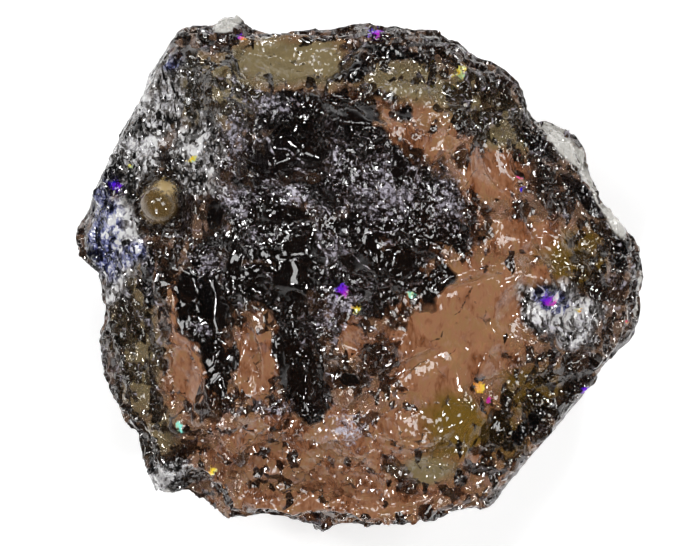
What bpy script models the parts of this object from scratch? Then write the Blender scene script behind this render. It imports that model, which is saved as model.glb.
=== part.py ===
"""Rough tourmaline: one broken chunk of a short, dark-cored crystal, lying on its flat broken back.

The chunk is a stubby prism. Its sides are the crystal's own steep faces, each with its own lean, and its
top is broken into slopes, hollows, knobs, grooves, ledges and shell-shaped scallops. The sizes are in
millimetres, and the finished mesh is brought to metres at the end, with its origin under the middle of the
chunk, on the plane that it rests on. +X is right and +Y is up as one looks down on the broken face.
"""

import math

import bmesh
import bpy
from mathutils import Matrix, Vector, noise

# Driving dimensions, in millimetres.
SKIN_STEP = 0.115  # spacing of the points that carry the relief
FACETS = 9300  # triangles left once the flatter parts of the relief are merged into larger facets
BLOCK_TOP = 5.2  # the block that the slopes are broken from
BLOCK_FOOT = -0.4  # the seat is cut a little above it, at height 0
TO_METRES = 0.001

# The sides, clockwise from the top left as seen from above. Each has the lean of its upper part and of its
# undercut lower part, in degrees from upright, the height of its widest line, and its corners on that line.
SIDES = (
    ("top edge", 7, 27, 2.7, (
        (-2.78, 4.03), (-2.46, 4.03), (-2.34, 3.93), (-2.19, 4.08), (-2.05, 4.06), (-1.92, 3.93),
        (-1.56, 3.90), (-1.07, 4.02), (-0.22, 4.06), (0.67, 4.03), (1.31, 3.92))),
    ("top right corner", 9, 17, 3.0, (
        (1.67, 3.71), (1.90, 3.50), (2.41, 3.37), (2.64, 3.15), (2.70, 2.84))),
    ("right edge", 7, 33, 2.4, (
        (2.88, 2.44), (3.27, 2.36), (3.80, 1.74), (4.07, 1.17), (4.48, 0.58), (4.56, 0.21),
        (4.64, -0.38), (4.53, -0.82))),
    ("lower right prism face", 5, 8, 2.8, (
        (4.19, -1.18), (3.70, -1.85), (3.15, -2.50), (2.52, -3.15), (2.09, -3.66))),
    ("bottom edge", 6, 29, 2.5, (
        (1.83, -3.82), (1.15, -3.94), (0.19, -4.06), (-0.78, -4.00), (-1.75, -3.94), (-2.20, -3.84))),
    ("lower left corner", 10, 14, 2.4, (
        (-2.49, -3.60), (-2.72, -3.47), (-3.27, -3.42), (-3.43, -3.08), (-3.52, -2.77), (-3.50, -2.56))),
    ("left edge", 6, 28, 2.6, (
        (-3.68, -2.42), (-3.92, -1.98), (-4.05, -1.53), (-4.12, -0.89), (-4.19, -0.16), (-4.24, 0.11))),
    ("left bulge", 9, 32, 2.4, (
        (-4.46, 0.28), (-4.58, 0.56), (-4.49, 0.90), (-4.29, 1.15))),
    ("upper left prism face", 5, 7, 2.9, (
        (-4.27, 1.40), (-4.01, 1.97), (-3.72, 2.34), (-3.52, 2.69), (-3.36, 3.08), (-3.15, 3.56),
        (-3.01, 3.85))),
)

# Where pieces broke away from the block: a point on each slope, the way it faces, in degrees from +X towards
# +Y, and its tilt, in degrees, from 0 for level and facing up to 180 for level and facing down.
SLOPES = (
    ("crown", (0.0, 0.3, 4.45), 100, 3),
    ("top shelf", (-0.4, 2.9, 4.15), 84, 17),
    ("right slope", (2.6, 1.25, 4.10), 22, 21),
    ("lower right slope", (2.0, -1.65, 4.10), -42, 20),
    ("bottom slope", (-0.2, -2.4, 4.15), -97, 18),
    ("left slope", (-2.7, 0.95, 4.15), 172, 21),
    ("lower left slope", (-2.3, -1.75, 4.10), -146, 20),
    ("top left slope", (-2.5, 2.75, 4.10), 133, 24),
    ("underside right", (2.9, 0.4, 0.0), 15, 158),
    ("underside lower right", (1.9, -1.9, 0.0), -48, 150),
    ("underside bottom", (-0.5, -2.6, 0.0), -100, 156),
    ("underside left", (-3.0, -0.4, 0.0), 178, 152),
    ("underside top left", (-1.9, 2.2, 0.0), 130, 157),
    ("underside top", (0.9, 2.7, 0.0), 72, 148),
)

# Flat growth faces: two corners of the outline, the lean from upright and the height of the widest line.
GROWTH_FACES = (
    ((-4.20, 1.45), (-3.02, 3.80), 4, 2.9),
    ((2.14, -3.58), (4.46, -0.90), 3, 2.8),
)

# Shell-shaped hollows and rounded knobs of the broken face: centre, radius, and height, below 0 if hollow.
HOLLOWS_AND_KNOBS = (
    ("dark pit", (-1.15, 2.15), 0.80, -0.78),
    ("pit beside it", (-0.35, 1.75), 0.55, -0.35),
    ("core hollow", (0.75, 0.95), 1.35, -0.36),
    ("lower core hollow", (0.15, -0.35), 0.80, -0.26),
    ("silvery shell", (3.30, -0.72), 0.62, -0.34),
    ("lower right shell", (2.35, -2.10), 0.70, -0.24),
    ("bottom shell", (-0.95, -3.05), 0.85, -0.20),
    ("top shell", (-0.75, 3.15), 0.80, -0.22),
    ("right shell", (3.35, 0.75), 0.60, -0.22),
    ("left shell", (-3.75, 2.05), 0.50, -0.16),
    ("amber knob", (-3.12, 1.10), 0.46, 0.42),
    ("bead", (-0.10, 3.28), 0.28, 0.28),
    ("ridge end", (2.45, 2.55), 0.36, 0.22),
    ("left shoulder", (-3.95, 0.55), 0.55, 0.20),
    ("pale window", (2.05, 1.62), 0.50, -0.16),
    ("lower window", (0.80, -2.35), 0.62, 0.22),
    ("lower left lump", (-2.20, -2.75), 0.46, 0.20),
)

# Smooth windows, each a nearly flat break: centre, half length and half width, the way its length points, in
# degrees, how far it lies above the slope, and the way it faces and its tilt from the slope, in degrees.
WINDOWS = (
    ("pale facet", (2.02, 1.58), 0.55, 0.48, 20, -0.10, -60, 10),
    ("big window", (1.62, -0.95), 1.25, 0.85, 70, -0.08, 160, 6),
    ("lower left window", (-2.85, -1.05), 0.85, 0.42, 95, -0.07, 20, 9),
    ("window between grooves", (-1.52, -1.25), 0.66, 0.36, 100, 0.00, -120, 8),
    ("bottom window", (-0.30, -2.95), 1.05, 0.40, 5, -0.06, -80, 7),
    ("tan facet", (0.55, 2.62), 0.66, 0.42, -25, 0.00, 120, 10),
    ("olive window", (1.95, -2.45), 0.60, 0.40, 40, -0.06, -45, 8),
    ("upper window", (-1.35, 3.10), 0.85, 0.36, 5, -0.04, 60, 9),
    ("right facet", (3.35, 1.20), 0.48, 0.32, 120, -0.05, 0, 10),
    ("frosted facet", (-3.55, 0.15), 0.55, 0.30, 90, -0.04, 200, 9),
)
WINDOW_EDGE = 0.55  # how steeply the break turns up round a window

# Grooves: their two ends, half width and depth.
GROOVES = (
    ((-2.45, 0.25), (-2.15, -1.95), 0.34, 0.34),
    ((-1.95, -0.35), (-1.85, -1.75), 0.22, 0.22),
    ((-1.15, -0.30), (-0.85, -2.10), 0.36, 0.36),
    ((0.35, 2.55), (2.30, 2.20), 0.22, 0.18),
    ((1.35, 0.05), (3.05, 0.35), 0.24, 0.18),
    ((-0.60, -2.25), (1.10, -1.35), 0.20, 0.14),
)

# Ledges that step down towards the edge: the way down, in degrees, where the first one is along it, how far
# apart they are and how high, and how many.
LEDGES = (
    (-97, 2.55, 0.34, 0.11, 4),
    (28, 2.75, 0.42, 0.13, 3),
    (80, 2.65, 0.45, 0.10, 2),
    (-155, 2.60, 0.50, 0.10, 3),
)
LEDGE_RISER = 0.09

WANDER, WANDER_SIZE = 0.32, 0.95  # how far every one of these strays from its plain outline, and how often
WANDER_SEED = 3  # the same stray every time

# Shell-shaped scars: their size and depth, how fast they rise from the middle, and how low the middle lies.
SCALLOP_SIZE, SCALLOP_DEPTH = 1.15, 0.17
CHIP_SIZE, CHIP_DEPTH = 0.52, 0.085
SHELL_RISE, SHELL_MIDDLE = 2.2, -0.6
LUMP_SIZE, LUMP_HEIGHT = 1.9, 0.13
SIDE_ROUGHNESS = 0.6  # of the relief of the broken face

GRAIN = Matrix.Rotation(math.radians(37), 3, Vector((1, 2, 3)))  # skews the skin off the slopes and sides

SAME_POINT = 1e-5  # points closer than this to a cut lie on it

SMOKY_BROWN = (0.098, 0.048, 0.032)
GLASSY = 0.12  # roughness of the finish
REFRACTION = 1.63


def heading(degrees, tilt):
    """The unit vector that faces that way round the compass and is tilted that far from straight up."""
    turn, lean = math.radians(degrees), math.radians(tilt)
    return Vector((math.cos(turn) * math.sin(lean), math.sin(turn) * math.sin(lean), math.cos(lean)))


def drawn_in(x, y, distance):
    """The point moved straight towards the upright axis."""
    radius = math.hypot(x, y)
    return x * (1 - distance / radius), y * (1 - distance / radius)


def outline_rings():
    """The foot, the widest line and the top of the block, corner by corner round the outline."""
    foot, widest, top = [], [], []
    for _, lean, undercut, height, corners in SIDES:
        for x, y in corners:
            widest.append((x, y, height))
            under = math.tan(math.radians(undercut)) * (height - BLOCK_FOOT)
            foot.append((*drawn_in(x, y, under), BLOCK_FOOT))
            over = math.tan(math.radians(lean)) * (BLOCK_TOP - height)
            top.append((*drawn_in(x, y, over), BLOCK_TOP))
    return foot, widest, top


def block():
    """The plain block: three rings of corners, joined and closed."""
    bm = bmesh.new()
    rings = [[bm.verts.new(corner) for corner in ring] for ring in outline_rings()]
    for lower, upper in zip(rings, rings[1:]):
        for i in range(len(lower)):
            j = (i + 1) % len(lower)
            bm.faces.new((lower[i], lower[j], upper[j], upper[i]))
    bm.faces.new(reversed(rings[0]))
    bm.faces.new(rings[-1])
    bmesh.ops.recalc_face_normals(bm, faces=bm.faces)
    return bm


def break_away(bm, point, outward):
    """Cuts off what lies beyond the plane and closes the cut with one flat face."""
    everything = bm.verts[:] + bm.edges[:] + bm.faces[:]
    cut = bmesh.ops.bisect_plane(
        bm, geom=everything, dist=SAME_POINT, plane_co=point, plane_no=outward, clear_outer=True)
    rim = [e for e in cut["geom_cut"] if isinstance(e, bmesh.types.BMEdge)]
    if rim:
        bmesh.ops.holes_fill(bm, edges=rim, sides=0)


def modified(bm, kind, **settings):
    """The same solid after one modifier with these settings."""
    mesh = bpy.data.meshes.new("block")
    bm.to_mesh(mesh)
    bm.free()
    holder = bpy.data.objects.new("block", mesh)
    bpy.context.scene.collection.objects.link(holder)
    modifier = holder.modifiers.new(kind, kind)
    for name, value in settings.items():
        setattr(modifier, name, value)
    evaluated = holder.evaluated_get(bpy.context.evaluated_depsgraph_get())
    result = bmesh.new()
    result.from_mesh(evaluated.to_mesh())
    evaluated.to_mesh_clear()
    bpy.data.objects.remove(holder)
    return result


def shells(p, size, depth):
    """Shell-shaped scars, as glassy stone breaks: each a shallow hollow, with sharp ridges between them."""
    nearest = noise.voronoi(p / size)[0][0]
    return depth * (SHELL_RISE * nearest * nearest + SHELL_MIDDLE)


def lumps(p):
    return LUMP_HEIGHT * noise.noise(p / LUMP_SIZE)


def hollows_and_knobs(x, y):
    height = 0.0
    for _, (cx, cy), radius, rise in HOLLOWS_AND_KNOBS:
        reach = math.hypot(x - cx, y - cy) / radius
        if reach < 1:
            height += rise * (1 - reach * reach)
    return height


def cut_to_windows(x, y, height):
    """The height with the smooth windows cut into it, each with a rim where it meets the rougher break."""
    for _, (cx, cy), half_length, half_width, turn, above, facing, tilt in WINDOWS:
        along, facing = heading(turn, 90), heading(facing, 90)
        u = ((x - cx) * along.x + (y - cy) * along.y) / half_length
        v = ((y - cy) * along.x - (x - cx) * along.y) / half_width
        downhill = (x - cx) * facing.x + (y - cy) * facing.y
        window = above - downhill * math.tan(math.radians(tilt))
        height = min(height, window + WINDOW_EDGE * max(math.hypot(u, v) - 1, 0.0))
    return height


def grooves(x, y):
    depth = 0.0
    for (ax, ay), (bx, by), half_width, deepest in GROOVES:
        along = ((x - ax) * (bx - ax) + (y - ay) * (by - ay)) / ((bx - ax) ** 2 + (by - ay) ** 2)
        along = min(max(along, 0.0), 1.0)
        off = math.hypot(x - ax - along * (bx - ax), y - ay - along * (by - ay)) / half_width
        if off < 1:
            depth = max(depth, deepest * (1 - off))
    return -depth


def ledges(x, y):
    height = 0.0
    for degrees, first, spacing, drop, count in LEDGES:
        way = heading(degrees, 90)
        beyond = x * way.x + y * way.y - first
        for step in range(count):
            height -= drop * min(max((beyond - step * spacing) / LEDGE_RISER, 0.0), 1.0)
    return height


def relief(p, normal):
    """How far the skin stands out of the plain slope at p, in millimetres."""
    rough = shells(p, SCALLOP_SIZE, SCALLOP_DEPTH) + shells(p, CHIP_SIZE, CHIP_DEPTH) + lumps(p)
    facing_up = min(max(2 * normal.z, 0.0), 1.0)
    stray = WANDER * noise.noise_vector(p / WANDER_SIZE)
    x, y = p.x + stray.x, p.y + stray.y
    broken_face = rough + hollows_and_knobs(x, y) + ledges(x, y)
    broken_face = cut_to_windows(x, y, broken_face) + grooves(x, y)
    return facing_up * broken_face + (1 - facing_up) * SIDE_ROUGHNESS * rough


def roughen(bm):
    """Moves every point of the skin along its normal by the relief there."""
    noise.seed_set(WANDER_SEED)
    bm.normal_update()
    moves = [vert.normal * relief(vert.co, vert.normal) for vert in bm.verts]
    for vert, move in zip(bm.verts, moves):
        vert.co += move


def flat_growth_faces(bm):
    for a, b, lean, height in GROWTH_FACES:
        out = math.degrees(math.atan2(a[0] - b[0], b[1] - a[1]))
        if a[0] * math.cos(math.radians(out)) + a[1] * math.sin(math.radians(out)) < 0:
            out += 180
        break_away(bm, (*a, height), heading(out, 90 - lean))


def drop_loose_chips(bm):
    """Keeps the chunk itself and removes any crumb that a cut has parted from it."""
    waiting = set(bm.verts)
    pieces = []
    while waiting:
        piece, reached = [], [waiting.pop()]
        while reached:
            vert = reached.pop()
            piece.append(vert)
            fresh = [e.other_vert(vert) for e in vert.link_edges if e.other_vert(vert) in waiting]
            waiting.difference_update(fresh)
            reached.extend(fresh)
        pieces.append(piece)
    pieces.sort(key=len)
    for piece in pieces[:-1]:
        bmesh.ops.delete(bm, geom=piece, context="VERTS")


def to_frame(bm):
    """Brings millimetres to metres, with the origin under the middle of the chunk on its resting plane."""
    xs, ys = [v.co.x for v in bm.verts], [v.co.y for v in bm.verts]
    middle = Vector(((min(xs) + max(xs)) / 2, (min(ys) + max(ys)) / 2, 0))
    bmesh.ops.translate(bm, verts=bm.verts, vec=-middle)
    bmesh.ops.scale(bm, verts=bm.verts, vec=(TO_METRES,) * 3)


def smoky_tourmaline():
    material = bpy.data.materials.new("smoky_tourmaline")
    material.use_nodes = True
    shader = material.node_tree.nodes["Principled BSDF"]
    shader.inputs["Base Color"].default_value = (*SMOKY_BROWN, 1)
    shader.inputs["Roughness"].default_value = GLASSY
    shader.inputs["Metallic"].default_value = 0.0
    shader.inputs["IOR"].default_value = REFRACTION
    return material


def tourmaline():
    bm = block()
    for _, point, degrees, tilt in SLOPES:
        break_away(bm, point, heading(degrees, tilt))
    bmesh.ops.rotate(bm, verts=bm.verts, cent=(0, 0, 0), matrix=GRAIN)
    bm = modified(bm, "REMESH", mode="VOXEL", voxel_size=SKIN_STEP)
    bmesh.ops.rotate(bm, verts=bm.verts, cent=(0, 0, 0), matrix=GRAIN.inverted())
    roughen(bm)
    bm = modified(bm, "DECIMATE", ratio=FACETS / (2 * len(bm.faces)))
    flat_growth_faces(bm)
    break_away(bm, (0, 0, 0), Vector((0, 0, -1)))
    drop_loose_chips(bm)
    to_frame(bm)
    mesh = bpy.data.meshes.new("tourmaline")
    bm.to_mesh(mesh)
    bm.free()
    mesh.materials.append(smoky_tourmaline())
    stone = bpy.data.objects.new("tourmaline", mesh)
    bpy.context.scene.collection.objects.link(stone)
    return stone


for old in list(bpy.data.objects):
    bpy.data.objects.remove(old)
tourmaline()
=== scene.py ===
"""Rough tourmaline: a broken, dark-cored chunk of smoky brown crystal, glassy all over, on its flat back.

Lengths in this file are in millimetres, and the mesh is brought to metres when it is done. +X is right and
+Y is up as one looks down on the broken face, and +Z is up.
"""

import math
from types import SimpleNamespace

import bmesh
import bpy
import numpy as np
from mathutils import Matrix, Vector, noise


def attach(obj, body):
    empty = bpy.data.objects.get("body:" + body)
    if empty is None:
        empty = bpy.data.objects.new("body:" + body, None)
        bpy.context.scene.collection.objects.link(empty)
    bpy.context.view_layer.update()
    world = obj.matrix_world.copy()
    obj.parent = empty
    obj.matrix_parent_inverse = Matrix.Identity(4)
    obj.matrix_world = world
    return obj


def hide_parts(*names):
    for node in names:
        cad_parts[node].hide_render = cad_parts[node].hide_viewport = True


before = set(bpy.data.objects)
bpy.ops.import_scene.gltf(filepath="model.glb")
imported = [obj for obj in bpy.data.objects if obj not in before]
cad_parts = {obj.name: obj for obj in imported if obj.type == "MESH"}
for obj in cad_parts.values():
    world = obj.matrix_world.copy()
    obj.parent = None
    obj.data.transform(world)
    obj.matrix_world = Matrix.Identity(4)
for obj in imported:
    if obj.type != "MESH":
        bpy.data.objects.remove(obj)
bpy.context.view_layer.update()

# ---------------------------------------------------------------------------------------------------------
# The chunk. One piece of tourmaline, a hard boron silicate that breaks like glass, into shell-shaped scars
# with sharp ridges between them. It is smoky brown and see-through, with a black core, olive patches, a
# frosted lilac side and thin films of air in its cracks, which show rainbow colours. The core's black is
# partly its own colour and partly painted shade. The dark on breaks, cracks and the rim is painted shade. The
# sheen on crushed edges, frost and films, the pale strands and the gold spot are painted light.
# ---------------------------------------------------------------------------------------------------------

MM = 0.001

AXIS = Vector((-0.019, -0.048, 0))  # the crystal's axis, which the places on the face are measured from
SKIN_STEP = 0.036  # spacing of the skin's points before the flatter parts are merged
SKIN_TRIANGLES = 192_000
FACET_SMOOTHING = 6  # rounds that take the coarse solid's own small facets away
SHARP_EDGE = math.radians(24)
GROWN = ((0.82, -0.57), (-0.92, 0.40))  # where the two flat growth faces point, which have few ledges

# The fine breaks: the sizes of the shell-shaped scars, of the chips and crumbs between them, and of the rings
# in the scars; how deep the scars and chips are; how far a chip's and a crumb's face leans.
SCAR, CHIP, CRUMB, RIPPLE = 0.80, 0.33, 0.145, 0.10
SCAR_DEPTH, CHIP_DEPTH, RIPPLE_HEIGHT = 0.085, 0.012, 0.0012
CHIP_LEAN, CRUMB_LEAN = 0.15, 0.07
SHELL_RISE, SHELL_MIDDLE = 2.2, 0.5  # how fast a scar rises from its middle, and how low its middle lies
STRAY, STRAY_SIZE = 0.22, 0.6  # how far the breaks stray from even spacing, and over what distance
CALM_SCAR, CALM_LEAN = 0.15, 0.08  # the share of a scar's depth and of a chip's lean in gentle places
LEDGE, LEDGE_CHIP, LEDGE_CRUMB = 0.06, 0.06, 0.05  # how far a ledge steps down, and how much that varies
SEAT_TOP, SEAT_FADE = 0.01, 0.10  # the flat face under the stone is plain, and the breaks grow above it
BREAKS_SEED = 5  # the same small breaks every time

# Patches of the broken face: centre, half length, half width and the way the length points, in degrees.
PATCHES = {
    # The core is painted black: partly the stone's own dark colour and partly painted shade.
    "core": (
        ((-0.55, 1.75), 1.45, 0.95, 10),
        ((0.75, 1.05), 1.15, 0.85, -20),
        ((-1.30, 0.75), 1.00, 0.75, 0),
        ((0.05, 0.05), 1.25, 0.70, -10),
        ((-2.45, -0.30), 0.45, 0.65, 0),
        ((-2.25, -1.35), 0.25, 0.55, 12),
        ((-1.00, -0.90), 0.40, 0.70, 6),
        ((-0.90, -1.70), 0.42, 0.60, 0),
        ((-1.55, -0.15), 0.60, 0.45, 0),
        ((-0.75, 2.45), 1.00, 0.45, 0),
        ((-0.11, 3.29), 0.20, 0.22, 0),
        ((0.55, 3.50), 0.65, 0.16, -5),
        ((2.75, -2.35), 0.45, 0.18, 45),
        ((4.20, 0.45), 0.22, 0.35, 0),
        ((2.85, 2.05), 0.35, 0.13, -50),
        ((3.55, 1.30), 0.55, 0.12, -48),
        ((-3.30, -0.10), 0.12, 0.50, 5),
        ((-3.12, 2.60), 0.30, 0.18, 0),
        ((-3.62, 1.20), 0.14, 0.26, 0),
    ),
    "specks": (
        ((-0.15, -1.55), 0.45, 0.35, 0),
        ((0.35, -1.35), 0.30, 0.35, 0),
        ((-2.10, -2.00), 0.70, 0.40, 0),
        ((-2.88, -2.98), 0.45, 0.55, 0),
        ((-1.52, -3.10), 0.45, 0.35, 0),
        ((2.20, -2.60), 0.70, 0.55, 38),
        ((1.45, 0.55), 0.55, 0.40, 0),
        ((1.70, 2.60), 0.60, 0.40, -40),
    ),
    # Hollows in the core, painted black as painted shade, with no frost or sheen.
    "hollow": (
        ((-1.01, 2.02), 0.55, 0.50, 0),
        ((-1.00, 0.30), 0.38, 0.28, 0),
        ((0.19, 0.53), 0.14, 0.20, 0),
        ((0.63, 0.18), 0.34, 0.32, 0),
        ((-0.06, 0.18), 0.38, 0.18, -20),
        ((-1.20, 0.95), 0.45, 0.18, 0),
        ((0.02, 2.50), 0.26, 0.28, 0),
        ((0.63, 1.68), 0.11, 0.30, 0),
        ((-2.69, -0.16), 0.20, 0.40, 0),
        ((-2.75, -0.65), 0.07, 0.20, 0),
        ((-2.28, -0.47), 0.26, 0.52, 0),
        ((-2.30, -1.53), 0.46, 0.14, -68),
        ((-2.33, -1.08), 0.18, 0.16, 0),
        ((-1.99, -1.34), 0.14, 0.22, 0),
        ((-1.08, -1.50), 0.20, 0.48, 8),
        ((-0.80, -1.85), 0.28, 0.42, 0),
        ((-0.14, -1.66), 0.20, 0.13, 0),
        ((-1.96, 0.10), 0.13, 0.40, 0),
        ((-1.02, -0.13), 0.36, 0.38, 0),
        ((-2.28, 0.95), 0.16, 0.28, 0),
    ),
    # The veil: a painted sheen over the core.
    "veil": (
        ((-0.38, 1.80), 0.20, 0.45, 0),
        ((0.40, 1.35), 0.75, 0.55, -10),
        ((1.40, 1.20), 0.28, 0.50, 0),
        ((-1.97, 1.16), 0.28, 0.30, 0),
        ((-1.00, 1.22), 0.50, 0.22, -25),
        ((-1.68, 0.60), 0.16, 0.14, 0),
        ((-1.45, 2.70), 0.50, 0.20, 0),
        ((-0.28, -0.43), 0.40, 0.30, 0),
        ((-0.30, 0.35), 0.20, 0.40, 40),
        ((-1.95, 2.20), 0.22, 0.60, 0),
        ((-2.36, 0.12), 0.32, 0.30, 0),
        ((-0.20, -2.42), 0.38, 0.30, 0),
        ((-1.30, -2.11), 0.30, 0.13, 10),
        ((-2.46, -0.86), 0.22, 0.11, -25),
        ((-0.43, -0.76), 0.28, 0.20, 0),
    ),
    "window": (
        ((1.60, -0.90), 1.70, 1.10, 55),
        ((2.05, 1.62), 0.62, 0.58, 0),
        ((-2.78, -0.70), 0.22, 0.60, 0),
        ((-2.62, -1.50), 0.45, 0.62, -8),
        ((-1.62, -1.35), 0.42, 0.75, -12),
        ((-0.10, -0.98), 0.20, 0.36, 0),
        ((-0.60, -2.75), 1.90, 0.75, 0),
        ((1.20, -2.70), 1.30, 0.90, 20),
        ((0.85, 2.42), 0.90, 0.60, -30),
        ((-1.10, 3.42), 1.05, 0.42, 0),
        ((2.75, 0.55), 0.85, 0.40, -10),
        ((2.93, -0.08), 0.40, 0.35, 0),
        ((-3.12, 1.12), 0.34, 0.40, 0),
        ((-0.30, -3.60), 1.80, 0.35, 0),
    ),
    "flakes": (
        ((-0.70, -2.90), 2.30, 1.00, 0),
        ((1.30, -3.20), 1.50, 0.60, 10),
        ((0.70, 2.60), 1.10, 0.70, -20),
    ),
    "amber": (
        ((-3.14, 1.14), 0.40, 0.50, 0),
    ),
    # The gold spot on the big drop: a painted highlight.
    "gold": (
        ((-3.04, 1.36), 0.19, 0.17, 0),
    ),
    "khaki": (
        ((-1.10, 3.42), 1.25, 0.48, 0),
        ((0.80, 3.05), 0.95, 0.40, -10),
        ((-2.40, 2.90), 0.90, 0.60, 0),
        ((-3.55, -1.10), 0.45, 1.40, 5),
        ((-3.20, -2.60), 0.35, 0.45, 0),
        ((1.10, -3.10), 0.62, 0.24, 5),
        ((2.00, 2.55), 1.10, 0.50, -35),
    ),
    "olive": (
        ((1.50, -2.42), 0.60, 0.62, 20),
        ((2.20, -2.45), 0.50, 0.50, 0),
        ((3.45, 0.25), 0.60, 0.55, 0),
        ((2.75, -1.85), 0.60, 0.55, 40),
    ),
    "frost": (
        ((-3.50, 2.05), 1.60, 0.60, 62),
        ((-3.90, 0.60), 0.50, 0.95, 0),
        ((-2.62, 1.85), 0.55, 0.85, 0),
        ((-3.14, -3.23), 0.42, 0.30, 0),
        ((3.20, -0.62), 0.75, 0.52, -30),
    ),
    "shine": (
        ((3.20, -0.62), 0.65, 0.42, -30),
        ((-2.45, 1.85), 0.32, 0.60, 10),
        ((-3.75, 0.75), 0.35, 0.80, 0),
        ((-3.20, 2.90), 0.30, 0.60, 62),
        ((-3.14, -3.23), 0.35, 0.25, 0),
    ),
    # The lilac tint on the frost is painted sheen.
    "lilac": (
        ((-4.05, 0.75), 0.35, 0.85, 0),
        ((-2.95, 3.50), 0.22, 0.30, 0),
        ((-3.50, 0.35), 0.40, 0.20, 30),
        ((3.05, -0.40), 0.35, 0.20, -20),
    ),
    # The clear chips at the edge, painted pale with the light that shows through them.
    "fringe": (
        ((3.27, 2.14), 0.66, 0.20, -52),
        ((3.92, 1.20), 0.80, 0.15, -63),
        ((-2.13, 4.05), 0.25, 0.20, 0),
        ((-3.30, -3.45), 0.40, 0.15, -20),
        ((4.60, -0.35), 0.12, 0.50, 0),
    ),
}

# Round drops of glass that stand out of the face: centre, radius and rise.
BEADS = (
    ((-3.14, 1.14), 0.36, 0.14),
    ((-2.78, -2.36), 0.28, 0.12),
    ((2.00, -1.48), 0.22, 0.09),
    ((-0.10, -0.60), 0.16, 0.06),
)
BEAD_ROUNDNESS = 0.8

# Cracks painted dark with painted shade, and strands painted pale as painted highlights: centre, half length,
# half width and the way the length points, in degrees.
CRACKS = (
    ((0.40, -2.27), 0.46, 0.015, 55),
    ((0.95, -1.50), 0.25, 0.013, 46),
    ((1.17, -0.98), 0.20, 0.018, 42),
    ((1.62, -0.50), 0.22, 0.014, 51),
    ((1.40, -1.30), 0.16, 0.010, 62),
    ((0.78, -1.22), 0.14, 0.010, 58),
    ((1.95, -0.72), 0.15, 0.010, -60),
    ((1.78, 1.50), 0.22, 0.010, 48),
    ((2.30, 1.72), 0.14, 0.010, 40),
)
STRAND_HIGHLIGHTS = (
    ((-1.06, 1.88), 0.52, 0.022, -31),
    ((-0.85, 1.62), 0.22, 0.022, 5),
    ((-1.45, 2.05), 0.30, 0.035, -55),
    ((-0.54, 0.30), 0.30, 0.030, -68),
    ((0.06, 0.23), 0.32, 0.025, -42),
    ((-0.94, 0.24), 0.18, 0.025, -55),
    ((-0.40, 1.95), 0.30, 0.030, 80),
    ((-1.30, 1.42), 0.40, 0.025, -22),
    ((-0.70, 1.10), 0.35, 0.022, -30),
    ((0.30, 0.75), 0.40, 0.020, 15),
    ((-1.44, 1.40), 0.16, 0.030, -60),
    ((-1.98, 1.13), 0.20, 0.060, -35),
    ((0.79, 1.67), 0.09, 0.055, 80),
    ((3.05, -0.85), 0.42, 0.035, -38),
    ((3.35, -0.55), 0.34, 0.028, -30),
    ((2.85, -0.30), 0.24, 0.025, -50),
)

# Films of air in cracks, whose rainbow colours are a painted sheen: centre, half width, and the colours at
# the two ends, on the scale of FILM_COLOURS.
FILMS = (
    ((-1.86, 3.78), 0.09, 0.0, 0.8),
    ((0.27, 3.87), 0.16, 0.0, 0.3),
    ((1.61, 3.21), 0.12, 0.80, 0.88),
    ((-2.64, 1.81), 0.09, 0.75, 0.95),
    ((-3.62, 1.72), 0.05, 0.80, 0.90),
    ((-0.25, -0.24), 0.13, 0.0, 0.4),
    ((-0.04, -0.53), 0.08, 0.75, 0.9),
    ((0.83, -0.31), 0.08, 0.95, 1.0),
    ((1.91, -1.79), 0.12, 0.68, 0.78),
    ((2.08, -1.99), 0.07, 0.35, 0.45),
    ((2.98, -0.38), 0.13, 0.0, 0.45),
    ((3.50, -0.55), 0.07, 0.95, 0.6),
    ((2.54, 1.53), 0.06, 0.4, 0.5),
    ((2.57, 1.34), 0.05, 0.0, 0.1),
    ((3.60, -1.82), 0.08, 0.0, 0.3),
    ((4.30, -0.76), 0.06, 0.5, 0.7),
    ((-2.31, -3.11), 0.08, 0.7, 0.9),
    ((-2.83, -2.40), 0.07, 0.9, 1.0),
    ((-3.86, 1.42), 0.10, 0.0, 0.2),
)

# How strongly the smallest breaks lean: at the calmest and how much more at the most restless places of the
# plain brown, and then in each kind of place.
PLAIN_LEAN, RESTLESS_LEAN = 0.10, 0.40
RIM_START, RIM_FULL = 0.50, 0.85  # how steep the face is where the broken rim starts, and where it is full
LEANS = {
    "core": 0.24, "rim": 0.9, "window": 0.18, "khaki": 0.50, "olive": 0.32, "frost": 0.75, "veil": 0.5,
    "hollow": 0.03, "bead": 0.10}


def patch_strength(name, x, y):
    """1 at the middle of a patch of that name, 0 on its outline and less than 0 outside it."""
    strength = np.full_like(x, -4.0)
    for (cx, cy), half_length, half_width, turn in PATCHES[name]:
        turn = math.radians(turn)
        u = ((x - cx) * math.cos(turn) + (y - cy) * math.sin(turn)) / half_length
        v = ((y - cy) * math.cos(turn) - (x - cx) * math.sin(turn)) / half_width
        strength = np.maximum(strength, 1 - np.hypot(u, v))
    return strength


def film_marks(x, y):
    """How strong the nearest film of air is, and which of the colours it has there."""
    strength, hue = np.full_like(x, -4.0), np.zeros_like(x)
    for (cx, cy), half, first, last in FILMS:
        here = 1 - np.hypot(x - cx, y - cy) / half
        across = np.clip(0.5 + (x - cx - y + cy) / (3 * half), 0, 1)
        hue = np.where(here > strength, first + (last - first) * across, hue)
        strength = np.maximum(strength, here)
    return strength, hue


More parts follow.
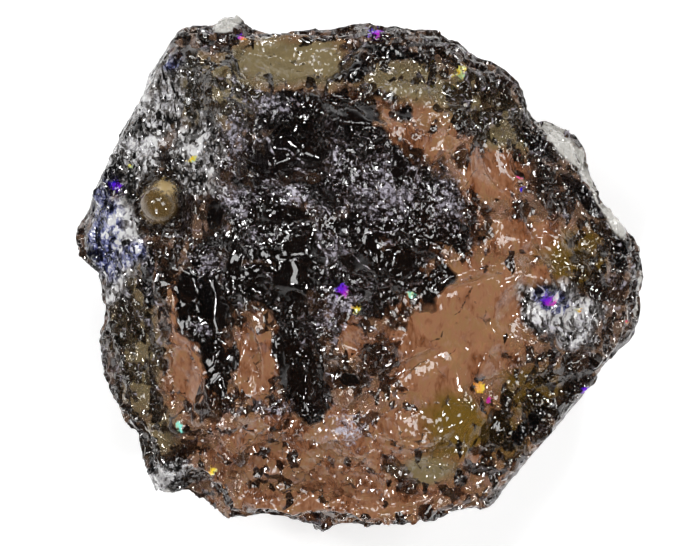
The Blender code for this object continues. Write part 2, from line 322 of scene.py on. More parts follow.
def beads(x, y):
    """How far the drops of glass stand out, and 1 inside one."""
    rise, inside = np.zeros_like(x), np.zeros_like(x)
    for (cx, cy), radius, height in BEADS:
        dome = 1 - ((x - cx) ** 2 + (y - cy) ** 2) / radius ** 2
        rise = np.maximum(rise, height * np.maximum(dome, 0) ** BEAD_ROUNDNESS)
        inside = np.where(dome > -0.3, 1.0, inside)  # with a narrow smooth rim
    return rise, inside


def positions(mesh):
    """The places of a mesh's points."""
    co = np.empty(len(mesh.vertices) * 3, np.float32)
    mesh.vertices.foreach_get("co", co)
    return co.reshape(-1, 3).astype(float)


def quad_corners(mesh):
    """The four points of each face of a mesh that is all quads."""
    points = np.empty(len(mesh.loops), np.int32)
    mesh.loops.foreach_get("vertex_index", points)
    return points.reshape(-1, 4)


def smoothed(co, quads, rounds):
    """The points after each has gone half way to the middle of its neighbours, this many times."""
    after = np.roll(quads, -1, axis=1)
    ends = np.concatenate((quads.ravel(), after.ravel()))
    others = np.concatenate((after.ravel(), quads.ravel()))
    count = np.bincount(ends)
    for _ in range(rounds):
        middle = [np.bincount(ends, co[others, axis]) / count for axis in range(3)]
        co = (co + np.stack(middle, axis=1)) / 2
    return co


def normals(co, quads):
    """The way each point of the skin faces."""
    facing = np.cross(co[quads[:, 2]] - co[quads[:, 0]], co[quads[:, 3]] - co[quads[:, 1]])
    out = [np.bincount(quads.ravel(), np.repeat(facing[:, axis], 4)) for axis in range(3)]
    out = np.stack(out, axis=1)
    return out / np.linalg.norm(out, axis=1)[:, None]


def modified(mesh, kind, **settings):
    """The mesh after one modifier with these settings."""
    holder = bpy.data.objects.new("holder", mesh)
    bpy.context.scene.collection.objects.link(holder)
    modifier = holder.modifiers.new(kind, kind)
    for name, value in settings.items():
        setattr(modifier, name, value)
    graph = bpy.context.evaluated_depsgraph_get()
    result = bpy.data.meshes.new_from_object(holder.evaluated_get(graph))
    bpy.data.objects.remove(holder)
    return result


def coarse_skin(node):
    """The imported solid's skin in millimetres, with its corners joined."""
    bm = bmesh.new()
    bm.from_mesh(node.data)
    bmesh.ops.scale(bm, verts=bm.verts, vec=(1 / MM,) * 3)
    bmesh.ops.remove_doubles(bm, verts=bm.verts, dist=1e-4)
    mesh = bpy.data.meshes.new("coarse skin")
    bm.to_mesh(mesh)
    bm.free()
    return mesh


def shell(distance):
    """How high a shell-shaped scar stands at this distance from its middle, in sizes of the scar."""
    return SHELL_RISE * distance * distance - SHELL_MIDDLE


def fine_relief(co, calm, ledges):
    """How far each point stands out of the coarse skin, and the marks that the material reads there."""
    noise.seed_set(BREAKS_SEED)
    heights = np.empty(len(co))
    marks = {
        name: np.empty(len(co), np.float32) for name in ("big_facet", "small_facet", "ridge", "restless")}
    for i, (place, smooth, ledge) in enumerate(zip(co, calm, ledges)):
        p = Vector(place)
        wander = noise.noise_vector(p / STRAY_SIZE)
        stray = p + STRAY * wander
        rough = 1 - smooth
        (scar, *_), _ = noise.voronoi(stray / SCAR)
        (chip, *_), (centre, *_) = noise.voronoi(stray / CHIP)
        (crumb, next_crumb, *_), (point, *_) = noise.voronoi(p / CRUMB)

        # Each chip and crumb draws its own lean, ledge and tone from the place of its middle.
        chip_slant = (stray / CHIP - centre).dot(noise.noise_vector(centre * 7.3))
        crumb_slant = (p / CRUMB - point).dot(noise.noise_vector(point * 5.7))
        height = (CALM_SCAR + (1 - CALM_SCAR) * rough) * SCAR_DEPTH * shell(scar)
        height += rough * CHIP_DEPTH * shell(chip)
        height += (CALM_LEAN + (1 - CALM_LEAN) * rough) * CHIP_LEAN * chip_slant
        height += rough * CRUMB_LEAN * crumb_slant
        step = LEDGE + LEDGE_CHIP * noise.cell(centre * 3.1) + LEDGE_CRUMB * noise.cell(point * 3.7)
        height -= ledge * step
        height += RIPPLE_HEIGHT * math.sin(scar * SCAR * 2 * math.pi / RIPPLE)
        heights[i] = height
        marks["big_facet"][i] = (noise.cell(centre * 7.31) + 1) / 2
        marks["small_facet"][i] = (noise.cell(point * 9.17) + 1) / 2
        marks["ridge"][i] = (next_crumb - crumb) * CRUMB
        marks["restless"][i] = wander.z
    return heights, marks


def gentleness(up, side, well, flaky, bead):
    """How gentle the breaks are: most in windows, hollows and drops of glass, and partly on the sides."""
    calm = np.maximum(well["window"] * (1 - 0.6 * flaky), 0.3 * well["core"] * (1 - well["veil"]))
    calm = np.maximum(np.maximum(calm, well["hollow"]), bead) * np.clip(up[:, 2] * 2, 0, 1)
    return np.maximum(calm, side * 0.7)


def ledge_share(up):
    """1 where the upper part of the sides steps down in ledges, and less on the flat growth faces."""
    grown = np.clip((np.max([up[:, :2] @ face for face in GROWN], axis=0) - 0.88) / 0.05, 0, 1)
    return np.clip(up[:, 2] / 0.15, 0, 1) * np.clip(1.5 - up[:, 2] / 0.5, 0, 1) * (1 - 0.6 * grown)


def leans(steep, restless, well, flaky, bead):
    """How strongly the smallest breaks lean at each point."""
    rim = np.clip((steep - RIM_START) / (RIM_FULL - RIM_START), 0, 1)
    share = dict(
        well, rim=rim, window=well["window"] * (1 - 0.5 * flaky), khaki=well["khaki"] * 0.8, bead=bead)
    restless = np.clip(0.5 + 1.6 * restless, 0, 1) * (1 - 0.6 * flaky)
    lean = PLAIN_LEAN + RESTLESS_LEAN * restless
    for name, there in LEANS.items():
        lean += (there - lean) * share[name]
    return lean


def tourmaline_mesh(node):
    """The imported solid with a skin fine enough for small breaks, and the marks that the material reads."""
    mesh = coarse_skin(node)
    mesh.transform(Matrix.Translation(-AXIS))
    mesh = modified(mesh, "REMESH", mode="VOXEL", voxel_size=SKIN_STEP)
    crisp, quads = positions(mesh), quad_corners(mesh)
    co = smoothed(crisp, quads, FACET_SMOOTHING)
    up = normals(co, quads)
    side = np.clip(1.5 - np.abs(up[:, 2]) / 0.4, 0, 1)  # the sides keep the coarse solid's own sharp ridges
    co += (crisp - co) * side[:, None]

    patches = {name: patch_strength(name, co[:, 0], co[:, 1]) for name in PATCHES}
    film, hue = film_marks(co[:, 0], co[:, 1])
    undercut = np.clip(-8 * up[:, 2], 0, 1)  # the sides below their widest place have no films or clear chips
    patches["fringe"] -= 4 * undercut
    film -= 4 * undercut
    drop, bead = beads(co[:, 0], co[:, 1])
    well = {name: np.clip(strength * 3, 0, 1) for name, strength in patches.items()}
    flaky = well["flakes"]

    heights, marks = fine_relief(co, gentleness(up, side, well, flaky, bead), ledge_share(up))
    steep = 1 - up[:, 2]
    marks["lean"] = leans(steep, marks.pop("restless"), well, flaky, bead)
    marks.update(patches, steep=steep, film=film, film_hue=hue)
    for name, values in marks.items():
        mesh.attributes.new(name, "FLOAT", "POINT").data.foreach_set("value", values.astype(np.float32))

    seat = np.clip((co[:, 2] - SEAT_TOP) / SEAT_FADE, 0, 1)
    co += up * (heights * seat + drop * (up[:, 2] > 0.3))[:, None]
    co[:, 2] = np.maximum(co[:, 2], 0)
    mesh.vertices.foreach_set("co", co.astype(np.float32).ravel())
    mesh.update()
    mesh = modified(mesh, "DECIMATE", ratio=SKIN_TRIANGLES / (2 * len(mesh.polygons)))
    mesh.transform(Matrix.Scale(MM, 4))
    return mesh


# Colours of the crystal: its browns from deep to thin, the frost's and the lilac frost's breaks from dark to
# bright, which are partly their pale frosted surface and partly painted sheen and glints, and the films'
# colours, a painted rainbow sheen, from a thick film to a thin one. The first number is where a colour lies.
BROWNS = ((0.15, "#4E2611"), (0.35, "#8F5A3A"), (0.5, "#B57F5E"), (0.65, "#B0845A"), (0.85, "#C0927A"))
FROST_SHEEN_SHADES = (
    (0.05, "#0E0D0D"), (0.28, "#474340"), (0.50, "#878482"), (0.72, "#C6C4CA"), (0.90, "#FFFFFF"))
LILAC_SHEEN_SHADES = (
    (0.05, "#0A0B18"), (0.32, "#363B62"), (0.55, "#767BAE"), (0.72, "#B6BADE"), (0.88, "#FFFFFF"))
FILM_COLOURS = (
    (0.0, "#2318C4"), (0.2, "#7B22D6"), (0.4, "#E0309E"), (0.6, "#F26A28"), (0.8, "#F7DC3C"),
    (1.0, "#7FE3D8"))
# BLACK is both the core's own dark and the painted shade.
SMOKE, KHAKI, OLIVE, BLACK = "#6B5D52", "#9C8C66", "#806325", "#0A0708"
# The crushed edges' colours carry painted sheen, and the strands' colour is a painted highlight.
CRUSHED_SHEEN_DARK, CRUSHED_SHEEN_PALE, STRAND_HIGHLIGHT = "#645E6A", "#D4CEDC", "#D9D4E0"
# CLEAR_CHIP_LIGHT is painted light that shows through the clear chips.
CLEAR_CHIP_LIGHT, WHITE = "#C6C2B2", "#FFFFFF"
# The drop's dark rim is painted shade, and its gold spot a painted highlight.
BEAD_RIM_SHADE, AMBER, GOLD_HIGHLIGHT = "#20160E", "#7A6238", "#CDB27C"
BODY_TINT, BODY_DENSITY = "#E1BC95", 50.0  # what light through the clear stone turns to, and how soon
IOR = 1.63  # tourmaline's is 1.62 to 1.64
GLASSY, CRUSHED = 0.03, 0.28  # how rough a fresh break is, and a crushed edge

# How many of each pattern there are to a millimetre, and the widths of the long and of the smallest flat
# breaks. The real grain and smallest breaks are finer: these are as coarse as they need to be to show.
DRIFTS, CLOUDS, CLUMPS, GRAINS, FIBRES = 2.2, 1.6, 4.5, 12.0, 17.0
SPLINTER, SLIVER = 0.16, 0.052
SPLINTER_TURN, SPLINTER_SQUEEZE = -0.9, 0.35  # the way they lie, and their width as a share of their length
SLIVER_TURN, SLIVER_SQUEEZE = 0.6, 0.55
SWIRL, BEND = 0.14, 0.60  # how far the drift moves the splinters, and the cracks and strands
EDGE_FULL, EDGE_END = 0.003, 0.014  # how near to a ridge between crumbs it is all edge, and no more edge

# Each mask's patch, the pattern that frays its outline, how much, and the strengths it starts and is full at.
OUTLINES = {
    "core": ("core", "cloud_a", 2.2, -0.05, 0.12),
    "window": ("window", "cloud_a", 1.3, 0.12, 0.36),
    "flaky": ("flakes", "cloud_b", 1.3, 0.0, 0.5),
    "brown": ("window", "cloud_b", 1.5, -0.45, -0.05),
    "olive": ("olive", "cloud_b", 1.6, -0.1, 0.4),
    "khaki": ("khaki", "cloud_b", 1.6, -0.1, 0.4),
    "frost": ("frost", "cloud_c", 1.8, -0.05, 0.25),
    "shine": ("shine", "clump_b", 1.5, 0.0, 0.8),
    "lilac": ("lilac", "cloud_b", 1.0, -0.1, 0.3),
    "veil": ("veil", "grain", 7.0, 0.3, 1.3),
    "hollow": ("hollow", "cloud_c", 1.6, 0.0, 0.2),
    "fringe": ("fringe", "cloud_a", 0.8, 0.0, 0.2),
    "bead_rim": ("amber", "cloud_c", 0.6, -0.1, 0.0),
    "amber": ("amber", "cloud_c", 0.6, 0.20, 0.45),
    "gold": ("gold", "grain", 2.0, 0.0, 0.4),
    "specks": ("specks", "cloud_c", 1.2, -0.1, 0.5),
    "film": ("film", "grain", 3.0, 0.10, 0.50),
}

# For the long, the small and the large flat breaks: the share that is painted dark, as painted shade where a
# break throws the light aside, in rough and in brown places, how dark that is, and how much a break changes
# the depth of the brown.
BREAKS = (
    ("splinter_tone", 0.45, 0.22, 0.90, 0.25),
    ("chip_tone", 0.38, 0.18, 0.80, 0.30),
    ("scar_tone", 0.38, 0.12, 0.60, 0.45),
)
SPECKS_SHARE = 0.22  # how much more of the breaks is painted shade where it is speckled
RIM_SHARE, RIM_SHADE = 0.75, 0.85  # the share of the long breaks at the rim that is painted shade, and how dark it is
# How dark the painted shade along cracked crumb edges is.
CRACK_SHADE = 0.9

# How much of the edges is crushed and pale, with a painted sheen: in browns, in windows, and how much more
# where it is khaki.
BROWN_CRUSHED_SHEEN, WINDOW_CRUSHED_SHEEN, KHAKI_CRUSHED_SHEEN = 0.35, 0.22, 0.25

# The values of their noise where these start and are full: torn cracks and strands, cracked edges with
# painted shade, crushed edges with painted sheen, and the places with many of those.
TORN, CRACKED_SHADE, BROKEN, BUSY = (0.40, 0.62), (0.50, 0.66), (0.46, 0.58), (0.36, 0.58)

# How much of the light is scattered rather than let through: by the plain stone, by a window, and by what
# lies in or on them.
PLAIN_HAZE, WINDOW_HAZE = 0.38, 0.56
HAZES = {
    "dark_and_shade": 0.0, "crushed_and_sheen": 0.9, "fringe": 0.6, "frost": 0.65, "strands": 0.9, "bead_rim": 0.1, "amber": 0.4,
    "gold": 0.7, "film": 1.0}

# What makes a break of the frost bright: each pattern, how much it counts, and its middle value.
GLINTS = (
    ("cloud_a", 2.1, 0.52), ("chip_tone", 0.45, 0.5), ("splinter_tone", 0.20, 0.5),
    ("sliver_tone", 0.85, 0.5), ("fibres", 0.7, 0.5), ("grain", 1.7, 0.5), ("shine", 0.45, 0.3))


def linear(hex_colour):
    """The linear red, green, blue and alpha of an sRGB hex colour."""
    parts = [int(hex_colour[i:i + 2], 16) / 255 for i in (1, 3, 5)]
    return (*[p / 12.92 if p <= 0.04045 else ((p + 0.055) / 1.055) ** 2.4 for p in parts], 1)


def add(tree, kind, inputs=(), out=0, **settings):
    """Adds a node, sets it up, sets or links its inputs, and gives the socket of the output asked for."""
    node = tree.nodes.new(kind)
    for name, value in settings.items():
        setattr(node, name, value)
    for name, value in dict(inputs).items():
        if isinstance(value, bpy.types.NodeSocket):
            tree.links.new(value, node.inputs[name])
        else:
            node.inputs[name].default_value = value
    return node.outputs[out] if len(node.outputs) else None


def ragged(tree, wander, name, fray, low, high):
    """A patch of the broken face with a frayed outline: 1 well inside, 0 outside."""
    strength = add(tree, "ShaderNodeAttribute", out="Fac", attribute_name=name)
    strength = add(tree, "ShaderNodeMath", {0: wander, 1: fray, 2: strength}, operation="MULTIPLY_ADD")
    return add(tree, "ShaderNodeMapRange", {
        "Value": strength, "From Min": low + fray / 2, "From Max": high + fray / 2})


def streaks(tree, place, marks):
    """1 in any of these long thin marks, which are given as the patches are, and 0 outside."""
    most = 0.0
    for (cx, cy), half_length, half_width, turn in marks:
        across = add(tree, "ShaderNodeMapping", {
            "Vector": place, "Location": (cx, cy, 0), "Rotation": (0, 0, math.radians(turn)),
            "Scale": (half_length, half_width, 1000)}, vector_type="TEXTURE")
        off = add(tree, "ShaderNodeVectorMath", {0: across}, out="Value", operation="LENGTH")
        mark = add(tree, "ShaderNodeMapRange", {
            "Value": off, "From Min": 0.6, "From Max": 1.0, "To Min": 1.0, "To Max": 0.0})
        most = add(tree, "ShaderNodeMath", {0: mark, 1: most}, operation="MAXIMUM")
    return most


def flat_breaks(tree, place, size):
    """Small flat breaks: a tone from 0 to 1 for each one, and how far its slanting face stands out."""
    cells = add(tree, "ShaderNodeTexVoronoi", {"Vector": place, "Scale": 1 / size}).node
    tone = add(tree, "ShaderNodeSeparateColor", {0: cells.outputs["Color"]})
    lean = add(tree, "ShaderNodeVectorMath", {0: cells.outputs["Color"], 1: (0.5,) * 3}, operation="SUBTRACT")
    reach = add(tree, "ShaderNodeVectorMath", {0: place, 1: cells.outputs["Position"]}, operation="SUBTRACT")
    height = add(tree, "ShaderNodeVectorMath", {0: reach, 1: lean}, out="Value", operation="DOT_PRODUCT")
    return tone, height


def patterns(tree):
    """The noise that breaks up the colours, on places in millimetres, and the marks that the skin carries."""
    place = add(tree, "ShaderNodeVectorMath", {
        0: add(tree, "ShaderNodeTexCoord", out="Object"), "Scale": 1 / MM}, operation="SCALE")
    drift = add(tree, "ShaderNodeTexNoise", {"Vector": place, "Scale": DRIFTS, "Detail": 1.0}, out="Color")
    swirl = add(tree, "ShaderNodeVectorMath", {0: drift, 1: (SWIRL,) * 3, 2: place}, operation="MULTIPLY_ADD")
    bent = add(tree, "ShaderNodeVectorMath", {0: drift, 1: (BEND,) * 3, 2: place}, operation="MULTIPLY_ADD")
    bent = add(tree, "ShaderNodeVectorMath", {0: bent, 1: (BEND / 2,) * 3}, operation="SUBTRACT")
    splinters = add(tree, "ShaderNodeMapping", {
        "Vector": swirl, "Rotation": (0, 0, SPLINTER_TURN), "Scale": (1, SPLINTER_SQUEEZE, 1)})
    slivers = add(tree, "ShaderNodeMapping", {
        "Vector": place, "Rotation": (0, 0, SLIVER_TURN), "Scale": (1, SLIVER_SQUEEZE, 1)})
    out = SimpleNamespace(bent=bent)
    out.grain = add(tree, "ShaderNodeTexNoise", {
        "Vector": place, "Scale": GRAINS, "Detail": 3.0, "Roughness": 0.75})
    out.fibres = add(tree, "ShaderNodeTexNoise", {
        "Vector": splinters, "Scale": FIBRES, "Detail": 1.0, "Roughness": 0.7})

    # Two clouds of noise, each with three parts that have nothing to do with one another.
    clouds = add(tree, "ShaderNodeTexNoise", {"Vector": place, "Scale": CLOUDS, "Detail": 3.0}, out="Color")
    clouds = add(tree, "ShaderNodeSeparateColor", {0: clouds}).node
    out.cloud_a, out.cloud_b, out.cloud_c = clouds.outputs
    clumps = add(tree, "ShaderNodeTexNoise", {"Vector": place, "Scale": CLUMPS, "Detail": 1.0}, out="Color")
    clumps = add(tree, "ShaderNodeSeparateColor", {0: clumps}).node
    out.clump_a, out.clump_b, out.clump_c = clumps.outputs

    out.splinter_tone, _ = flat_breaks(tree, splinters, SPLINTER)
    out.sliver_tone, out.sliver_slant = flat_breaks(tree, slivers, SLIVER)
    for name, mark in (("chip_tone", "small_facet"), ("scar_tone", "big_facet"), ("ridge", "ridge"),
                       ("steep", "steep"), ("lean", "lean"), ("film_hue", "film_hue")):
        setattr(out, name, add(tree, "ShaderNodeAttribute", out="Fac", attribute_name=mark))
    return out


def masks(tree, pattern):
    """Where each kind of place is, from 0 to 1."""
    mask = SimpleNamespace()
    for name, (patch, frayed_by, fray, start, full) in OUTLINES.items():
        setattr(mask, name, ragged(tree, getattr(pattern, frayed_by), patch, fray, start, full))

    # The core and the windows end at the steep rim, flakes thin the windows, and a shaded hollow, painted
    # black, has no frost.
    mask.upper = add(tree, "ShaderNodeMapRange", {
        "Value": pattern.steep, "From Min": RIM_START, "From Max": RIM_FULL, "To Min": 1.0, "To Max": 0.0})
    mask.core = add(tree, "ShaderNodeMath", {0: mask.core, 1: mask.upper}, operation="MULTIPLY")
    mask.window = add(tree, "ShaderNodeMath", {0: mask.window, 1: mask.upper}, operation="MULTIPLY")
    whole = add(tree, "ShaderNodeMapRange", {"Value": mask.flaky, "To Min": 1.0, "To Max": 0.64})
    mask.window = add(tree, "ShaderNodeMath", {0: mask.window, 1: whole}, operation="MULTIPLY")
    mask.frost = add(tree, "ShaderNodeMix", {0: mask.hollow, 2: mask.frost, 3: 0.0})

    # The edges of the crumbs, and the cracks and strands, which are torn as the stone's grain goes.
    mask.edge = add(tree, "ShaderNodeMapRange", {
        "Value": pattern.ridge, "From Min": EDGE_FULL, "From Max": EDGE_END, "To Min": 1.0, "To Max": 0.0})
    torn = add(tree, "ShaderNodeMapRange", {
        "Value": pattern.grain, "From Min": TORN[0], "From Max": TORN[1]})
    mask.cracks = add(tree, "ShaderNodeMath", {
        0: streaks(tree, pattern.bent, CRACKS), 1: torn}, operation="MULTIPLY")
    mask.strands = add(tree, "ShaderNodeMath", {
        0: streaks(tree, pattern.bent, STRAND_HIGHLIGHTS), 1: torn}, operation="MULTIPLY")
    return mask


def dark_core_and_shade(tree, pattern, mask):
    """Where the stone is painted dark: its core, partly its own dark colour and partly painted shade, and
    painted shade on breaks that throw the light aside inside it, at the rim, along cracks and cracked edges,
    and in the shaded hollows.
    """
    dark_and_shade = mask.core
    for name, rough_share, brown_share, darkness, _ in BREAKS:
        share = add(tree, "ShaderNodeMix", {0: mask.brown, 2: rough_share, 3: brown_share})
        share = add(tree, "ShaderNodeMix", {0: mask.window, 2: share, 3: 0.0})
        share = add(tree, "ShaderNodeMath", {
            0: mask.specks, 1: SPECKS_SHARE, 2: share}, operation="MULTIPLY_ADD")
        shade = add(tree, "ShaderNodeMath", {0: getattr(pattern, name), 1: share}, operation="LESS_THAN")
        shade = add(tree, "ShaderNodeMath", {0: shade, 1: darkness}, operation="MULTIPLY")
        dark_and_shade = add(tree, "ShaderNodeMath", {0: dark_and_shade, 1: shade}, operation="MAXIMUM")

    # Most of the steep rim is painted dark, a painted shade for the light that goes in there and goes out at
    # the back.
    rim_shade = add(tree, "ShaderNodeMath", {0: pattern.splinter_tone, 1: RIM_SHARE}, operation="LESS_THAN")
    rim_shade = add(tree, "ShaderNodeMath", {0: rim_shade, 1: RIM_SHADE}, operation="MULTIPLY")
    rim_shade = add(tree, "ShaderNodeMix", {0: mask.upper, 2: rim_shade, 3: 0.0})
    cracked_shade = add(tree, "ShaderNodeMapRange", {
        "Value": pattern.clump_a, "From Min": CRACKED_SHADE[0], "From Max": CRACKED_SHADE[1], "To Max": CRACK_SHADE})
    cracked_shade = add(tree, "ShaderNodeMath", {0: mask.edge, 1: cracked_shade}, operation="MULTIPLY")
    for part in (rim_shade, mask.cracks, cracked_shade, mask.hollow):
        dark_and_shade = add(tree, "ShaderNodeMath", {0: dark_and_shade, 1: part}, operation="MAXIMUM")
    return dark_and_shade


def crushed_sheen_edges(tree, pattern, mask):
    """Where an edge is crushed and pale, with a painted sheen on it, and the painted sheen of the veil over
    the core.
    """
    busy = add(tree, "ShaderNodeMapRange", {
        "Value": pattern.cloud_c, "From Min": BUSY[0], "From Max": BUSY[1]})
    crushed_sheen = add(tree, "ShaderNodeMix", {0: mask.brown, 2: busy, 3: BROWN_CRUSHED_SHEEN})
    crushed_sheen = add(tree, "ShaderNodeMix", {0: mask.window, 2: crushed_sheen, 3: WINDOW_CRUSHED_SHEEN})
    crushed_sheen = add(tree, "ShaderNodeMath", {
        0: mask.khaki, 1: KHAKI_CRUSHED_SHEEN, 2: crushed_sheen}, operation="MULTIPLY_ADD")
    broken = add(tree, "ShaderNodeMapRange", {
        "Value": pattern.clump_c, "From Min": BROKEN[0], "From Max": BROKEN[1]})
    crushed_and_sheen = add(tree, "ShaderNodeMath", {0: mask.edge, 1: broken}, operation="MULTIPLY")
    crushed_and_sheen = add(tree, "ShaderNodeMath", {0: crushed_and_sheen, 1: crushed_sheen}, operation="MULTIPLY")
    crushed_and_sheen = add(tree, "ShaderNodeMath", {0: crushed_and_sheen, 1: mask.veil}, operation="MAXIMUM")
    return add(tree, "ShaderNodeMix", {0: mask.hollow, 2: crushed_and_sheen, 3: 0.0})


def brown_depth(tree, pattern, mask):
    """How deep the brown is: every break has its own depth, and in a window they are nearly even."""
    depth = 0.0
    for name, *_, weight in BREAKS:
        off = add(tree, "ShaderNodeMath", {0: getattr(pattern, name), 1: 0.5}, operation="SUBTRACT")
        depth = add(tree, "ShaderNodeMath", {0: off, 1: weight, 2: depth}, operation="MULTIPLY_ADD")
    for name, weight in (("cloud_b", 1.0), ("fibres", 0.8)):
        off = add(tree, "ShaderNodeMath", {0: getattr(pattern, name), 1: 0.5}, operation="SUBTRACT")
        depth = add(tree, "ShaderNodeMath", {0: off, 1: weight, 2: depth}, operation="MULTIPLY_ADD")
    even = add(tree, "ShaderNodeMapRange", {"Value": mask.window, "To Min": 1.0, "To Max": 0.5})
    return add(tree, "ShaderNodeMath", {0: depth, 1: even, 2: 0.5}, operation="MULTIPLY_ADD")


def crystal_colour(tree, pattern, mask, dark_and_shade, crushed_and_sheen):
    """The brown of the crystal, with everything that lies in it and on it, and the painted shade, sheen and
    highlights, laid over it in turn.
    """
    parts = dict(vars(pattern), shine=mask.shine)
    glint = 0.5
    for name, weight, middle in GLINTS:
        part = add(tree, "ShaderNodeMath", {0: parts[name], 1: middle}, operation="SUBTRACT")
        glint = add(tree, "ShaderNodeMath", {0: part, 1: weight, 2: glint}, operation="MULTIPLY_ADD")
    flicker = add(tree, "ShaderNodeMath", {0: pattern.sliver_tone, 1: 0.5}, operation="SUBTRACT")
    hue = add(tree, "ShaderNodeMath", {0: flicker, 1: 0.12, 2: pattern.film_hue}, operation="MULTIPLY_ADD")
    colour = add(tree, "ShaderNodeValToRGB", {0: brown_depth(tree, pattern, mask)})
    frost_sheen = add(tree, "ShaderNodeValToRGB", {0: glint})
    lilac_frost_sheen = add(tree, "ShaderNodeValToRGB", {0: glint})
    film_sheen = add(tree, "ShaderNodeValToRGB", {0: hue})
    for ramp, shades in ((colour, BROWNS), (frost_sheen, FROST_SHEEN_SHADES), (lilac_frost_sheen, LILAC_SHEEN_SHADES),
                         (film_sheen, FILM_COLOURS)):
        stops = ramp.node.color_ramp.elements
        while len(stops) < len(shades):
            stops.new(1.0)
        for stop, (position, shade) in zip(stops, shades):
            stop.position = position
            stop.color = linear(shade)

    smoke = add(tree, "ShaderNodeMath", {0: mask.brown, 1: mask.flaky}, operation="MAXIMUM")
    smoke = add(tree, "ShaderNodeMapRange", {"Value": smoke, "To Min": 0.6, "To Max": 0.0})
    crushed_sheen = add(tree, "ShaderNodeMix", {
        0: pattern.clump_b, 6: linear(CRUSHED_SHEEN_DARK), 7: linear(CRUSHED_SHEEN_PALE)}, out=2, data_type="RGBA")
    clear_chip_light = add(tree, "ShaderNodeMix", {
        0: pattern.grain, 6: linear(CLEAR_CHIP_LIGHT), 7: linear(WHITE)}, out=2, data_type="RGBA")
    lilac_frost = add(tree, "ShaderNodeMath", {0: mask.frost, 1: mask.lilac}, operation="MULTIPLY")
    for amount, shade in (
            (smoke, linear(SMOKE)), (mask.khaki, linear(KHAKI)), (mask.olive, linear(OLIVE)),
            (dark_and_shade, linear(BLACK)), (crushed_and_sheen, crushed_sheen), (mask.fringe, clear_chip_light), (mask.frost, frost_sheen),
            (lilac_frost, lilac_frost_sheen), (mask.strands, linear(STRAND_HIGHLIGHT)), (mask.bead_rim, linear(BEAD_RIM_SHADE)),
            (mask.amber, linear(AMBER)), (mask.gold, linear(GOLD_HIGHLIGHT)), (mask.film, film_sheen)):
        colour = add(tree, "ShaderNodeMix", {0: amount, 6: colour, 7: shade}, out=2, data_type="RGBA")
    return colour


def smoky_tourmaline():
    """Tourmaline as it broke, with no polish: it is glassy, with a sharp bright gloss, and see-through, but
    so crowded with breaks inside that part of the light comes back brown. Crushed edges are dull and pale,
    with a painted sheen, and its colour also holds painted shade and highlights."""
    material = bpy.data.materials.new("smoky_tourmaline")
    material.use_nodes = True
    tree = material.node_tree
    tree.nodes.clear()
    pattern = patterns(tree)
    mask = masks(tree, pattern)
    dark_and_shade = dark_core_and_shade(tree, pattern, mask)
    crushed_and_sheen = crushed_sheen_edges(tree, pattern, mask)

    amounts = dict(vars(mask), dark_and_shade=dark_and_shade, crushed_and_sheen=crushed_and_sheen)
    haze = add(tree, "ShaderNodeMapRange", {
        "Value": mask.window, "To Min": PLAIN_HAZE, "To Max": WINDOW_HAZE})
    for name, scattered in HAZES.items():
        haze = add(tree, "ShaderNodeMix", {0: amounts[name], 2: haze, 3: scattered})
    clear = add(tree, "ShaderNodeMath", {0: 1.0, 1: haze}, operation="SUBTRACT")
    gloss = add(tree, "ShaderNodeMapRange", {"Value": crushed_and_sheen, "To Min": GLASSY, "To Max": CRUSHED})

    # The smallest breaks lean each its own way, too finely for the skin's points.
    height = add(tree, "ShaderNodeMath", {0: pattern.sliver_slant, 1: pattern.lean}, operation="MULTIPLY")
    height = add(tree, "ShaderNodeMath", {0: height, 1: MM}, operation="MULTIPLY")
    bump = add(tree, "ShaderNodeBump", {"Strength": 1.0, "Distance": 1.0, "Height": height})
    shader = add(tree, "ShaderNodeBsdfPrincipled", {
        "Base Color": crystal_colour(tree, pattern, mask, dark_and_shade, crushed_and_sheen), "Normal": bump, "Roughness": gloss,
        "IOR": IOR, "Transmission Weight": clear})
    absorb = add(tree, "ShaderNodeVolumeAbsorption", {"Color": linear(BODY_TINT), "Density": BODY_DENSITY})
    add(tree, "ShaderNodeOutputMaterial", {"Surface": shader, "Volume": absorb})
    return material


stone = bpy.data.objects.new("rough_tourmaline", tourmaline_mesh(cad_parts["tourmaline"]))
bpy.context.scene.collection.objects.link(stone)
stone.location = AXIS * MM
stone.data.materials.clear()
stone.data.materials.append(smoky_tourmaline())
stone.data.shade_smooth()
stone.data.set_sharp_from_angle(angle=SHARP_EDGE)
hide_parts("tourmaline")
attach(stone, "root")

# ---------------------------------------------------------------------------------------------------------
# The table: a sheet of matt white card under the stone. It glows a little, so that it stays plain white with
# only a faint shadow beside the stone.
# ---------------------------------------------------------------------------------------------------------

TABLE_HALF = 600.0
TABLE_GAP = 0.003  # it lies this far under the stone's flat face, so that the two don't flicker
TABLE_GLOW = 0.35


def white_card():
    """Card: matt paper with no gloss, which gives an even white."""
    material = bpy.data.materials.new("white_card")
    material.use_nodes = True
    shader = material.node_tree.nodes["Principled BSDF"]
    shader.inputs["Base Color"].default_value = linear("#FAFAFA")
    shader.inputs["Roughness"].default_value = 0.9
    shader.inputs["Specular IOR Level"].default_value = 0.0
    shader.inputs["Emission Color"].default_value = linear(WHITE)
    shader.inputs["Emission Strength"].default_value = TABLE_GLOW
    return material


bm = bmesh.new()
bmesh.ops.create_grid(bm, x_segments=1, y_segments=1, size=TABLE_HALF * MM)
sheet = bpy.data.meshes.new("table")
bm.to_mesh(sheet)
bm.free()
sheet.materials.append(white_card())
table = bpy.data.objects.new("table", sheet)
table.location.z = -TABLE_GAP * MM
bpy.context.scene.collection.objects.link(table)

# ---------------------------------------------------------------------------------------------------------
# The lights: soft light from all round the horizon, and square softboxes above it. The small ones make the
# sharp glints and the large ones the soft sheen. They stand where no big flat break mirrors a whole one.
# ---------------------------------------------------------------------------------------------------------

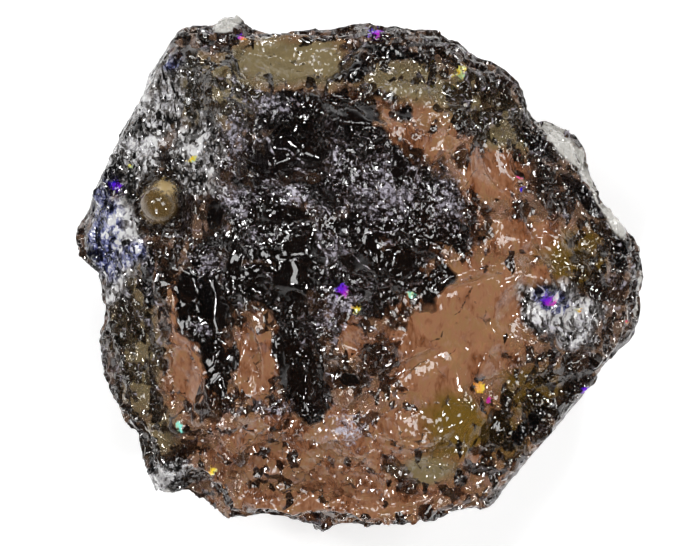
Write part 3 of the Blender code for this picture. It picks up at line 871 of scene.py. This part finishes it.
LIGHT_DISTANCE = 220.0
SMALL_AZIMUTHS, LARGE_AZIMUTHS = (70, 160, 250, 340), (20, 85, 145, 240)
SMALL_SOFTBOX = {"elevation": 46, "size": 24, "radiance": 50}
LARGE_SOFTBOX = {"elevation": 59, "size": 60, "radiance": 7.0}
HORIZON_LIGHT, ZENITH_LIGHT = 0.9, 0.02
HORIZON_TOP, ZENITH_FROM = 0.08, 0.38  # the sines of the elevations that the light fades between


def softbox(name, azimuth, elevation, size, radiance):
    """A square softbox that faces the stone."""
    light = bpy.data.lights.new(name, "AREA")
    light.shape = "SQUARE"
    light.size = size * MM
    light.energy = radiance * math.pi * (size * MM) ** 2
    lamp = bpy.data.objects.new(name, light)
    turn, rise = math.radians(azimuth), math.radians(elevation)
    out = Vector((math.cos(turn) * math.cos(rise), math.sin(turn) * math.cos(rise), math.sin(rise)))
    lamp.location = out * LIGHT_DISTANCE * MM
    lamp.rotation_euler = out.to_track_quat("Z", "Y").to_euler()
    lamp.visible_camera = False
    bpy.context.scene.collection.objects.link(lamp)


def studio_world():
    """White light from the horizon that fades upwards."""
    world = bpy.data.worlds.new("studio")
    world.use_nodes = True
    tree = world.node_tree
    tree.nodes.clear()
    direction = add(tree, "ShaderNodeTexCoord", out="Generated")
    height = add(tree, "ShaderNodeSeparateXYZ", {0: direction}, out="Z")
    bright = add(tree, "ShaderNodeMapRange", {
        "Value": height, "From Min": HORIZON_TOP, "From Max": ZENITH_FROM, "To Min": HORIZON_LIGHT,
        "To Max": ZENITH_LIGHT}, interpolation_type="SMOOTHSTEP")
    sky = add(tree, "ShaderNodeBackground", {"Color": linear(WHITE), "Strength": bright})
    add(tree, "ShaderNodeOutputWorld", {"Surface": sky})
    return world


bpy.context.scene.world = studio_world()
for number, (small, large) in enumerate(zip(SMALL_AZIMUTHS, LARGE_AZIMUTHS)):
    softbox(f"small softbox {number}", small, **SMALL_SOFTBOX)
    softbox(f"large softbox {number}", large, **LARGE_SOFTBOX)

# ---------------------------------------------------------------------------------------------------------
# The camera: a long lens that looks straight down on the broken face, from far enough to see it whole with
# a white margin round it.
# ---------------------------------------------------------------------------------------------------------

LENS, SENSOR = 200.0, 36.0
VIEW_WIDTH = 700 / 62  # how wide it sees at the height of the face: 700 pixels, with 62 to a millimetre
FACE_HEIGHT = 2.7
VIEW_MIDDLE = Vector((-0.137, 0.03, 0))  # the middle of the view, from the crystal's axis

lens = bpy.data.cameras.new("camera")
lens.lens = LENS
lens.sensor_width = SENSOR
lens.clip_start = 1 * MM
lens.clip_end = 10.0
camera = bpy.data.objects.new("camera", lens)
camera.location = (AXIS + VIEW_MIDDLE + Vector((0, 0, FACE_HEIGHT + VIEW_WIDTH * LENS / SENSOR))) * MM
bpy.context.scene.collection.objects.link(camera)
bpy.context.scene.camera = camera
bpy.context.scene.view_settings.view_transform = "Standard"
